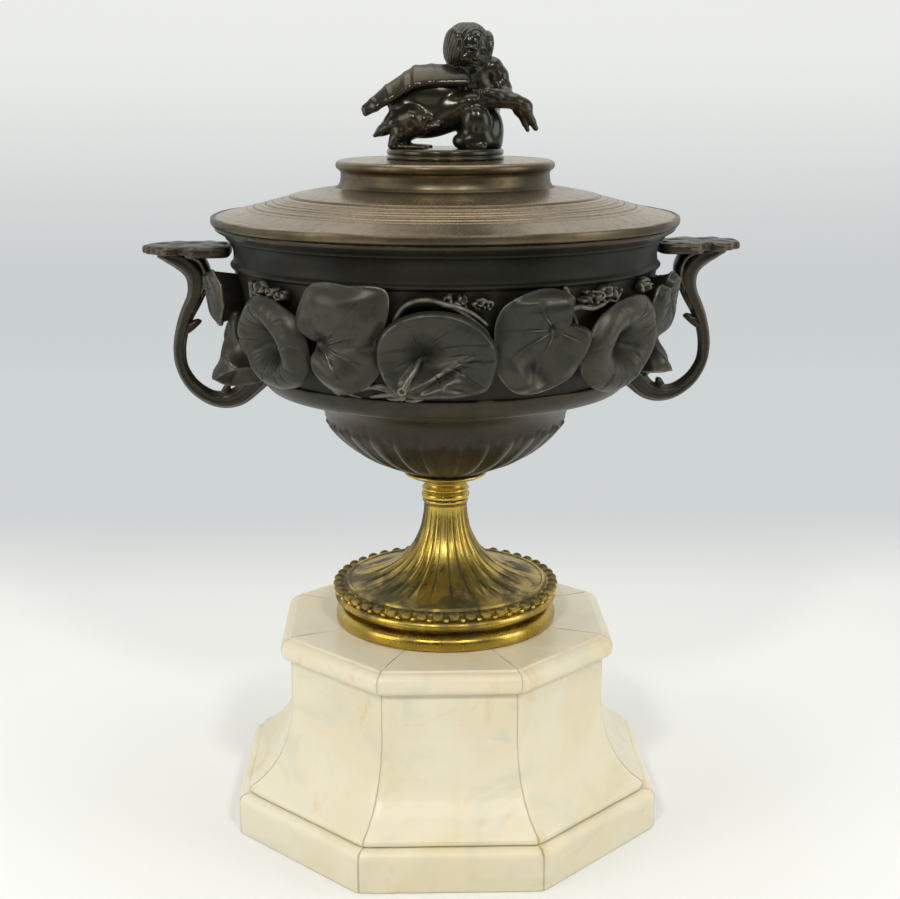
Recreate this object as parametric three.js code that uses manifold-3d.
/**
 * A covered mantel urn of patinated and gilt bronze on an octagonal marble plinth.
 *
 * Millimetres, +Z up. The origin is the middle of the plinth's underside, and -Y is
 * the front. Angles round the urn are measured from the front, growing towards +X.
 */
import * as THREE from "three";
import { mergeVertices } from "three/addons/utils/BufferGeometryUtils.js";
import Module from "manifold-3d";

const wasm = await Module();
wasm.setup();

// ---------------------------------------------------------------- driving dimensions

const GAP = 0.3; // clear joint between two pieces that rest on each other
const URN_TURN = 3; // degrees by which the urn stands turned on its plinth
const RIM_RADIUS = 100; // edge of the lid

// heights of the joints, from the ground up
const SLAB_TOP = 18;
const BODY_TOP = 78.3;
const CAP_TOP = 88.2;
const RING_TOP = 97.3;
const FOOT_TOP = 143.6;
const COLLAR_TOP = 156.5;
const LEDGE = 204; // foot of the frieze
const FRIEZE_TOP = 249.2;
const FLUTE_TOP = 181.4; // the flutes under the bowl end here
const LIP_TOP = 265.7;
const LID_TOP = 292.6;
const BASE_TOP = 297.2; // top of the little disc that carries the figures
const FIGURES_SQUAT = 0.88; // how far the modelled figures are brought down in height

// octagons, across their flats
const SLAB_WIDTH = 185.3;
const BODY_WIDTH = 176;
const DIE_WIDTH = 137.8;
const CAP_WIDTH = 146.6;

const LOWER_FLUTES = 28;
const STEM_FLUTES = 24;
const BEADS = 44;
const BEAD_RADIUS = 2.7;
const BEAD_CIRCLE = 48.2;
const BEAD_HEIGHT = 104.2;
const FRIEZE_RADIUS = 88; // mean radius on which the frieze's motifs are laid out
const ROOT = -3; // how deep a motif is sunk into the wall behind it
const STAND_LOW = 1.35; // the wall leans out, so motifs stand further off it at their feet
const STAND_HIGH = 0.9; // and less at their heads

const BRONZE = { color: 0x3b3129, metalness: 0.8, roughness: 0.42 };
const DARK_BRONZE = { color: 0x241d17, metalness: 0.85, roughness: 0.3 };
const GILT = { color: 0xb98a2e, metalness: 0.9, roughness: 0.35 };
const MARBLE = { color: 0xe9e3d2, metalness: 0, roughness: 0.4 };

// ---------------------------------------------------------------------- small helpers

const FULL_TURN = Math.PI * 2;
const radians = THREE.MathUtils.degToRad;
const { clamp, lerp, smoothstep } = THREE.MathUtils;

/** Revolves a profile of [radius, height] pairs about Z, upwards along its outside. */
function turned(profile, segments, start = 0) {
  const points = profile.map(([radius, height]) => new THREE.Vector2(radius, height));
  return new THREE.LatheGeometry(points, segments, start, FULL_TURN).rotateX(Math.PI / 2);
}

/** Passes every corner of a geometry through a function that moves it. */
function reshape(geometry, move) {
  const corners = geometry.getAttribute("position");
  const corner = new THREE.Vector3();
  for (let i = 0; i < corners.count; i += 1) {
    corner.fromBufferAttribute(corners, i);
    move(corner);
    corners.setXYZ(i, corner.x, corner.y, corner.z);
  }
  return geometry;
}

/** Joins the shared corners of a closed geometry and makes a solid of it. */
function solid(geometry) {
  const bare = new THREE.BufferGeometry();
  bare.setAttribute("position", geometry.getAttribute("position"));
  if (geometry.getIndex()) bare.setIndex(geometry.getIndex());
  const joined = mergeVertices(bare, 1e-4);
  const index = joined.getIndex().array;
  const faces = [];
  for (let i = 0; i < index.length; i += 3) {
    const [a, b, c] = [index[i], index[i + 1], index[i + 2]];
    if (a !== b && b !== c && c !== a) faces.push(a, b, c);
  }
  const vertProperties = new Float32Array(joined.getAttribute("position").array);
  const triVerts = new Uint32Array(faces);
  return new wasm.Manifold(new wasm.Mesh({ numProp: 3, vertProperties, triVerts }));
}

/** Joins several solids into one. */
function joinAll(solids) {
  return solids.reduce((whole, next) => whole.add(next));
}

/** The outer skin of a solid, with any hollow sealed inside it filled. */
function filled(body) {
  const skins = body.decompose();
  return skins.reduce((largest, next) => (next.volume() > largest.volume() ? next : largest));
}

/** Turns a solid into a named mesh with its own material. */
function piece(name, body, finish) {
  const { vertProperties, triVerts } = body.getMesh();
  const geometry = new THREE.BufferGeometry();
  geometry.setAttribute("position", new THREE.BufferAttribute(new Float32Array(vertProperties), 3));
  geometry.setIndex(new THREE.BufferAttribute(new Uint32Array(triVerts), 1));
  geometry.computeVertexNormals();
  const mesh = new THREE.Mesh(geometry, new THREE.MeshStandardMaterial(finish));
  mesh.name = name;
  return mesh;
}

/** An octagonal moulding, from [width across flats, height] pairs. */
function octagonal(profile) {
  const halfCorner = Math.PI / 8;
  const corners = profile.map(([width, height]) => [width / 2 / Math.cos(halfCorner), height]);
  return solid(turned(corners, 8, halfCorner));
}

/** Value at t of a list of [t, value] pairs joined by straight lines. */
function along(pairs, t) {
  const last = pairs.length - 1;
  if (t <= pairs[0][0]) return pairs[0][1];
  if (t >= pairs[last][0]) return pairs[last][1];
  const next = pairs.findIndex(([at]) => at > t);
  const [[t0, v0], [t1, v1]] = [pairs[next - 1], pairs[next]];
  return lerp(v0, v1, (t - t0) / (t1 - t0));
}

/**
 * A limb of oval section along a curve. Width lies in the plane of `side`, thickness
 * across it, and both are lists of [t, half size] pairs.
 */
function limb(points, width, thickness, side, stations, sides = 5) {
  const path = new THREE.CatmullRomCurve3(points.map((p) => new THREE.Vector3(...p)));
  const across = new THREE.Vector3(...side).normalize();
  const bar = new THREE.CylinderGeometry(1, 1, 1, sides, stations);
  return solid(reshape(bar, (corner) => {
    const t = clamp(corner.y + 0.5, 0, 1);
    const tangent = path.getTangent(t);
    const normal = new THREE.Vector3().crossVectors(tangent, across).normalize();
    const middle = path.getPoint(t);
    middle.addScaledVector(across, corner.z * along(thickness, t));
    middle.addScaledVector(normal, corner.x * along(width, t));
    corner.copy(middle);
  }));
}

/** An ellipsoid at a place, with its three half sizes and a turn about each axis. */
function oval(place, halves, turns = [0, 0, 0], detail = [7, 5]) {
  const ball = new THREE.SphereGeometry(1, ...detail).rotateX(Math.PI / 2);
  const pose = new THREE.Matrix4().compose(
    new THREE.Vector3(...place),
    new THREE.Quaternion().setFromEuler(new THREE.Euler(...turns.map(radians))),
    new THREE.Vector3(...halves),
  );
  return solid(ball.applyMatrix4(pose));
}

// -------------------------------------------------------------------- the marble plinth

function plinthSlab() {
  return octagonal([
    [0, 0], [SLAB_WIDTH - 1.6, 0], [SLAB_WIDTH, 0.8], [SLAB_WIDTH, SLAB_TOP - 3.2],
    [SLAB_WIDTH - 1.8, SLAB_TOP - 1], [SLAB_WIDTH - 5.4, SLAB_TOP], [0, SLAB_TOP],
  ]);
}

/** The die rises from a wide foot through a hollow sweep. */
function plinthBody() {
  const foot = SLAB_TOP + GAP;
  const lip = foot + 2.6;
  const sweepTop = 57;
  const sweep = new THREE.QuadraticBezierCurve(
    new THREE.Vector2(BODY_WIDTH, lip),
    new THREE.Vector2(DIE_WIDTH + 3, 30),
    new THREE.Vector2(DIE_WIDTH, sweepTop),
  );
  return octagonal([
    [0, foot], [BODY_WIDTH - 2, foot], [BODY_WIDTH, foot + 0.8],
    ...sweep.getPoints(8).map((point) => [point.x, point.y]),
    [DIE_WIDTH, BODY_TOP], [0, BODY_TOP],
  ]);
}

function plinthCap() {
  const foot = BODY_TOP + GAP;
  return octagonal([
    [0, foot], [CAP_WIDTH - 2.4, foot], [CAP_WIDTH - 0.6, foot + 1.6], [CAP_WIDTH, foot + 4.4],
    [CAP_WIDTH - 1.2, foot + 7], [CAP_WIDTH - 4.4, CAP_TOP - 1], [CAP_WIDTH - 8, CAP_TOP - 0.7],
    [CAP_WIDTH - 9, CAP_TOP], [0, CAP_TOP],
  ]);
}

// ----------------------------------------------------------------- the gilt foot

function footRing() {
  const foot = CAP_TOP + GAP;
  return solid(turned([
    [0, foot], [49.5, foot], [49.5, 92], [47.2, 94.8], [44.6, 95.6], [44.6, RING_TOP],
    [0, RING_TOP],
  ], 32));
}

/** The fluted trumpet and the dish that it spreads into, ringed with beads. */
function foot() {
  const foot = RING_TOP + GAP;
  const outline = [
    [0, foot], [48.6, foot], [50.1, 99.8], [46.4, 105.2], [38, 107.4], [26.6, 111.3],
    [18.6, 116.7], [13.6, 123], [10.7, 129.8], [9.4, FOOT_TOP], [0, FOOT_TOP],
  ];
  const fluteDepth = (height) => (
    0.1 * smoothstep(height, 106.8, 111) * (1 - smoothstep(height, 137, 142))
  );
  const body = solid(reshape(turned(outline, STEM_FLUTES * 2), (corner) => {
    const angle = Math.atan2(corner.x, -corner.y);
    const hollow = 0.5 - 0.5 * Math.cos(angle * STEM_FLUTES);
    const inside = Math.hypot(corner.x, corner.y) < 42 ? 1 : 0;
    const scale = 1 - inside * fluteDepth(corner.z) * hollow;
    corner.x *= scale;
    corner.y *= scale;
  }));
  const beads = [];
  for (let i = 0; i < BEADS; i += 1) {
    const angle = (i / BEADS) * FULL_TURN;
    const bead = new THREE.OctahedronGeometry(BEAD_RADIUS * 1.15).rotateZ(Math.PI / 4);
    bead.translate(BEAD_CIRCLE, 0, BEAD_HEIGHT).rotateZ(angle);
    beads.push(solid(bead));
  }
  return joinAll([body, ...beads]);
}

/** The small dish and double ring between the stem and the bowl. */
function stemCollar() {
  const foot = FOOT_TOP + GAP;
  return solid(turned([
    [0, foot], [10.3, foot], [10.6, 146.1], [9.8, 147.1], [10.6, 148.6], [9, 150.9],
    [10.4, 152.5], [16.4, 153.8], [18.4, 155.4], [18.2, COLLAR_TOP], [0, COLLAR_TOP],
  ], 18));
}

// --------------------------------------------------------------------------- the bowl

const FRIEZE_WALL = [[80.2, 204], [86.6, 228], [91, 250]];

/** Radius of the wall behind the frieze at a height. */
function wallRadius(height) {
  return along(FRIEZE_WALL.map(([radius, at]) => [at, radius]), height);
}

/** Lays a flat motif, x along the frieze, y up and z outwards, onto the wall. */
function layOnWall(geometry, angle, height, tilt) {
  const turn = new THREE.Matrix4().makeRotationZ(radians(tilt));
  return reshape(geometry.applyMatrix4(turn), (corner) => {
    const around = radians(angle) + corner.x / FRIEZE_RADIUS;
    const up = height + corner.y;
    const stand = corner.z > 0 ? lerp(STAND_LOW, STAND_HIGH, (up - LEDGE) / (FRIEZE_TOP - LEDGE)) : 1;
    const out = wallRadius(up) + corner.z * stand;
    corner.set(out * Math.sin(around), -out * Math.cos(around), up);
  });
}

/** A heart-shaped leaf: two lobes beside its stalk, and a tip opposite. */
function leaf({ angle, height, tilt, size, rise = 8.6, cup = 2.5 }) {
  const plain = turned([
    [0, ROOT], [1, ROOT], [1, rise], [0.5, rise - cup], [0, rise - 0.6 * cup],
  ], 12);
  const shaped = reshape(plain, (corner) => {
    const round = Math.atan2(corner.x, -corner.y);
    const away = Math.abs(round) / Math.PI;
    const notch = 1 - 0.42 * smoothstep(away, 0.82, 1);
    const tip = 0.2 * (1 - smoothstep(away, 0, 0.16));
    const reach = size * (0.86 + 0.14 * Math.sin(away * Math.PI)) * (notch + tip);
    corner.x *= reach;
    corner.y *= reach;
  });
  return solid(layOnWall(shaped, angle, height, tilt));
}

/** An open trumpet flower: a rolled rim round a throat that lies off its middle. */
function bloom({ angle, height, tilt, size, rise = 10, throat = [0, 0] }) {
  const plain = turned([
    [0, ROOT], [0.95, ROOT], [1, rise - 1.8], [0.84, rise], [0.36, rise - 5],
    [0, rise - 9.4],
  ], 12);
  const shaped = reshape(plain, (corner) => {
    const inward = corner.z > ROOT ? 1 - Math.min(1, Math.hypot(corner.x, corner.y)) : 0;
    corner.x = size[0] * (corner.x + throat[0] * inward);
    corner.y = size[1] * (corner.y + throat[1] * inward);
  });
  return solid(layOnWall(shaped, angle, height, tilt));
}

/** A closed flower hanging with its mouth down. */
function bud({ angle, height, tilt, length, mouth, rise = 11 }) {
  const plain = turned([[0, ROOT], [1, ROOT], [0.86, 0.6 * rise], [0, rise]], 8);
  const shaped = reshape(plain, (corner) => {
    const down = 0.5 - 0.5 * corner.y;
    corner.x *= mouth * (0.32 + 0.68 * down);
    corner.y *= length / 2;
    corner.z *= 0.6 + 0.4 * down;
  });
  return solid(layOnWall(shaped, angle, height, tilt));
}

const LEAVES = [
  { angle: -28.5, height: 229.5, tilt: -8, size: 18.4, cup: 4 },
  { angle: 19.5, height: 229, tilt: -42, size: 18.4 },
  { angle: 68.5, height: 235, tilt: 30, size: 13, rise: 11 },
  { angle: -79, height: 236.5, tilt: 18, size: 10.5, rise: 13 },
  { angle: 95, height: 224, tilt: -20, size: 12, rise: 5 },
  { angle: 142, height: 229, tilt: -10, size: 18 },
  { angle: 192, height: 229, tilt: -38, size: 18 },
  { angle: 241, height: 229, tilt: 15, size: 17 },
];
const BLOOMS = [
  { angle: -53, height: 222.5, tilt: 0, size: [20.5, 18.3], throat: [0.1, -0.1] },
  { angle: -6, height: 223, tilt: 0, size: [20.8, 18.2], throat: [-0.2, -0.15] },
  { angle: 45, height: 222.5, tilt: 12, size: [20.5, 17.4], throat: [0.1, 0.05] },
  { angle: 117, height: 223, tilt: 0, size: [20, 18], throat: [0.1, -0.1] },
  { angle: 167, height: 223, tilt: 0, size: [20.5, 18], throat: [-0.2, -0.1] },
  { angle: 217, height: 223, tilt: 10, size: [20.5, 17.6], throat: [0.1, 0.1] },
];
const BUDS = [
  { angle: -76, height: 218, tilt: 12, length: 28, mouth: 9 },
  { angle: 72, height: 215.5, tilt: -20, length: 18, mouth: 6 },
  { angle: 259, height: 224, tilt: -20, length: 24, mouth: 7, rise: 8 },
];

/** A footed vessel with fluted underside, overhanging ledge, frieze, neck and lip. */
function bowl() {
  const underside = turned([
    [0, COLLAR_TOP + GAP], [17.8, COLLAR_TOP + GAP], [21, 158.8], [29.4, 162], [40, 167.6],
    [47.8, 173.6], [53.8, FLUTE_TOP], [55.2, 186.8], [59.6, 191.2], [64.6, 192.4],
    [76, 195.8], [80.8, LEDGE],
    [0, LEDGE],
  ], LOWER_FLUTES * 2);
  const fluted = reshape(underside, (corner) => {
    const part = (Math.atan2(corner.x, -corner.y) / FULL_TURN) * LOWER_FLUTES * 2;
    const seam = Math.round(part) % 2 === 0 ? 1 : 0;
    const reach = smoothstep(corner.z, COLLAR_TOP, 161) * (corner.z <= FLUTE_TOP ? 1 : 0);
    const radius = Math.hypot(corner.x, corner.y);
    const scale = radius > 20 ? 1 - (1.3 * seam * reach) / radius : 1;
    corner.x *= scale;
    corner.y *= scale;
  });
  const wall = turned([[0, LEDGE - 3], [78, LEDGE - 3], ...FRIEZE_WALL, [0, 250]], 32);
  const neck = turned([
    [0, 247], [89, 247], [92.1, FRIEZE_TOP], [90.6, 251], [90.4, 255.8], [98.2, 264.2],
    [98.2, LIP_TOP], [0, LIP_TOP],
  ], 32);
  const inside = turned([
    [0, 160], [17, 161], [34, 167.6], [46, 178.4], [56, 194.2], [71, 198.6], [76.6, 203],
    [87.2, 247.5], [88, 261.6], [93.8, 261.6], [93.8, LIP_TOP + 2], [0, LIP_TOP + 2],
  ], 24);
  const relief = [...LEAVES.map(leaf), ...BLOOMS.map(bloom), ...BUDS.map(bud)];
  return joinAll([solid(fluted), solid(wall), solid(neck), ...relief]).subtract(solid(inside));
}

// ---------------------------------------------------------------------------- the lid

/** A hollow cover with a shallow dome, a raised cap and a ring that drops into the bowl. */
function lid() {
  const underside = LIP_TOP + GAP;
  return solid(turned([
    [0, 289.2], [40.4, 288.5], [42, 279], [90, underside + 0.6], [90.4, 262], [92.2, 262],
    [92.4, underside], [99.2, underside], [RIM_RADIUS, 268.2], [98.4, 269.8], [67, 277.2],
    [65.4, 278], [47.5, 280.7], [44.6, 282.8], [44.4, 287.4], [46.5, 289.4], [46.5, 291.4],
    [45, LID_TOP], [0, LID_TOP],
  ], 32));
}

// ------------------------------------------------------------------------- the handles

/** One handle, pointing along +X from the bowl's axis. */
function handle() {
  const flat = [0, 1, 0];
  const stem = limb([
    [118, 0, 253.2], [111, 0, 249.6], [106.6, 0, 243.5], [107.2, 0, 236], [110.6, 0, 229],
    [113.4, 0, 221.5], [115.2, 0, 212.5], [114.2, 0, 204], [109.8, 0, 196.4], [103, 0, 191.2],
    [96.2, 0, 189.8], [90, 0, 191.6], [84.6, 0, 196.4], [79, 0, 202.4],
  ],
  [[0, 5.4], [0.09, 4.6], [0.2, 3.8], [0.36, 2.8], [0.55, 2.5], [0.72, 3.4], [0.86, 4.2], [1, 5.4]],
  [[0, 7], [0.12, 5.4], [0.3, 3.8], [0.6, 3.6], [0.85, 4.4], [1, 6]], flat, 14, 6);
  const backLeaf = limb([
    [106, 0, 252.4], [102.9, 0, 247], [102.9, 0, 241.6], [105.8, 0, 235], [109.6, 0, 229.4],
  ], [[0, 2.4], [0.5, 2.2], [1, 0.9]], [[0, 7.4], [0.5, 5.4], [1, 1.6]], flat, 4, 6);
  const thorn = limb([[112, 0, 222], [108.2, 0, 223.4], [105.6, 0, 224.4]],
    [[0, 2.6], [0.6, 1.5], [1, 0.5]], [[0, 2.6], [0.6, 1.6], [1, 0.5]], flat, 2, 5);
  const spur = limb([[105.4, 0, 240.4], [101.6, 0, 238.2], [98.4, 0, 235.4]],
    [[0, 3.2], [0.6, 2.6], [1, 1.4]], [[0, 3], [1, 1.8]], flat, 2, 5);
  const knot = oval([86.4, 0, 200.6], [3.6, 3.8, 3.2], [0, 0, 0], [6, 4]);

  // the flat leaf on top: a round outer lobe, a notch on each side, and a broad root
  const plate = reshape(
    turned([[0, 253.8], [1, 253.8], [1, 257], [0, 257.9]], 16),
    (corner) => {
      const round = Math.atan2(corner.y, corner.x);
      const away = Math.abs(round) / Math.PI;
      const notch = 1 - 0.24 * Math.exp(-(((away - 0.46) / 0.07) ** 2));
      corner.x = 110.5 + corner.x * notch * 18.6;
      corner.y *= notch * 16.4;
    },
  );
  const root = new THREE.BoxGeometry(26, 31, 4.4).translate(98, 0, 254.9);
  const clearance = turned([
    [0, 191.6], [66, 191.6], [76.2, 195], [80.7, 199.2], [81.5, LEDGE + 0.4], [92.6, 248.4],
    [92.6, 250.8], [91.3, 251.6], [91.2, 256], [94.4, 260.6], [0, 260.6],
  ], 48);
  return joinAll([stem, backLeaf, thorn, spur, knot, solid(plate), solid(root)])
    .subtract(solid(clearance));
}

// -------------------------------------------------------------------------- the finial

/** A child leaning over a goose and holding its neck, on a small disc, cast in one. */
function finial() {
  const disc = solid(turned([
    [0, LID_TOP + GAP], [24.9, LID_TOP + GAP], [25.2, 293.5], [24.9, 296.4], [24.2, BASE_TOP - 0.1],
    [0, BASE_TOP],
  ], 28));

  const goose = [
    oval([-8, -3, 14], [17, 8.6, 8.6], [0, -8, 0]),
    oval([5, -5, 16.5], [9, 7.4, 8]),
    limb([[5, -6, 18], [14, -9, 22.6], [23, -9, 25], [29.5, -7.5, 23.6], [32.4, -7, 20.4]],
      [[0, 5], [0.5, 3.4], [1, 3.2]], [[0, 5], [0.5, 3.3], [1, 3]], [0, 1, 0.1], 5),
    oval([32.4, -7, 20], [4.2, 3.5, 4.7], [0, 35, 0], [8, 6]),
    limb([[33.6, -7, 18], [36, -7, 13.6], [38.2, -7, 9.4]],
      [[0, 2.2], [0.6, 1.4], [1, 0.8]], [[0, 2.4], [0.7, 2], [1, 1.2]], [0, 1, 0], 2, 5),
    limb([[31.6, -7, 17], [33.2, -7, 12.6], [34.6, -7, 8.9]],
      [[0, 1.8], [0.6, 1], [1, 0.6]], [[0, 2.2], [0.7, 1.8], [1, 1]], [0, 1, 0], 2, 5),
    limb([[-14, -2.5, 12], [-22, -2.5, 10.6], [-29, -2.5, 7]],
      [[0, 5], [0.6, 3], [1, 0.8]], [[0, 7], [0.6, 4.6], [1, 1.6]], [0, 1, 0], 3),
    limb([[-17, -4, 9], [-19, -4.5, 5], [-20, -5, 0]],
      [[0, 3.6], [1, 2.2]], [[0, 3], [1, 2.2]], [0, 1, 0], 2, 5),
    limb([[-22, -5, 1], [-15, -6.4, 1.8], [-7, -8, 0.8]],
      [[0, 1.6], [0.5, 1.6], [1, 1]], [[0, 2.2], [0.5, 4], [1, 5]], [0, 1, 0.1], 2, 5),
  ];

  const wings = [-1, 1].map((side) => {
    const outline = new THREE.Shape([
      [6, 36], [-2, 38.1], [-12, 37.8], [-14.6, 36], [-23.4, 31.5], [-31.3, 25.7], [-34.9, 20.7],
      [-34.6, 17.3], [-28.3, 20.4], [-22, 20], [-12, 16], [0, 15],
    ].reverse().map(([x, z]) => new THREE.Vector2(x, z)));
    const blade = new THREE.ExtrudeGeometry(outline, { depth: 3.2, steps: 1, bevelEnabled: false });
    blade.rotateX(Math.PI / 2);
    return solid(reshape(blade, (corner) => {
      const spread = 4.2 + 0.22 * Math.max(0, -corner.x - 6) - 0.16 * (corner.z - 24);
      corner.y = side * spread - 2.6 + corner.y + 1.6;
    }));
  });

  const child = [
    oval([13.2, 1.6, 18], [10.6, 9, 21], [0, 0, 0], [8, 7]),
    oval([11.8, -9, 11.4], [8.4, 7.2, 11.8], [8, 0, 0]),
    limb([[17.4, -0.5, 40], [22.4, -0.8, 36.6], [25.2, -1.8, 31], [25.2, -4, 26]],
      [[0, 4.6], [1, 3.9]], [[0, 5], [1, 3.9]], [0, 1, 0], 3),
    limb([[25, -4, 27], [21, -9.4, 24.4], [14, -12.6, 24.6]],
      [[0, 3.8], [1, 2.8]], [[0, 3.8], [1, 2.8]], [0, 0, 1], 3),
    limb([[6, -1, 35], [-1, -5, 36.4], [-6, -6.4, 35.2]],
      [[0, 4.2], [1, 2.4]], [[0, 4.2], [1, 2.8]], [0, 0, 1], 2),
    oval([9, -2.6, 47], [9.9, 10.2, 11.7], [0, 6, 0], [9, 7]),
    oval([9.8, -8, 44], [7.2, 5.8, 8.6], [0, 6, 0]),
  ];

  const figures = joinAll([...goose, ...wings, ...child])
    .scale([1, 1, FIGURES_SQUAT]).translate([0, 0, BASE_TOP - 0.3]);
  const aboveDisc = solid(new THREE.BoxGeometry(90, 60, 80).translate(0, 0, BASE_TOP + 39.4));
  return filled(disc.add(figures.intersect(aboveDisc)));
}

// ----------------------------------------------------------------------- putting it up

const model = new THREE.Group();
model.add(
  piece("plinth_slab", plinthSlab(), MARBLE),
  piece("plinth_body", plinthBody(), MARBLE),
  piece("plinth_cap", plinthCap(), MARBLE),
);

const urn = new THREE.Group();
urn.rotation.z = radians(URN_TURN);
urn.add(
  piece("foot_ring", footRing(), GILT),
  piece("foot", foot(), GILT),
  piece("stem_collar", stemCollar(), GILT),
  piece("bowl", bowl(), BRONZE),
  piece("lid", lid(), BRONZE),
  piece("finial", finial(), DARK_BRONZE),
);
const rightHandle = piece("handle_right", handle(), BRONZE);
const leftHandle = piece("handle_left", handle(), BRONZE);
leftHandle.rotation.z = Math.PI;
urn.add(rightHandle, leftHandle);
model.add(urn);

export default model;
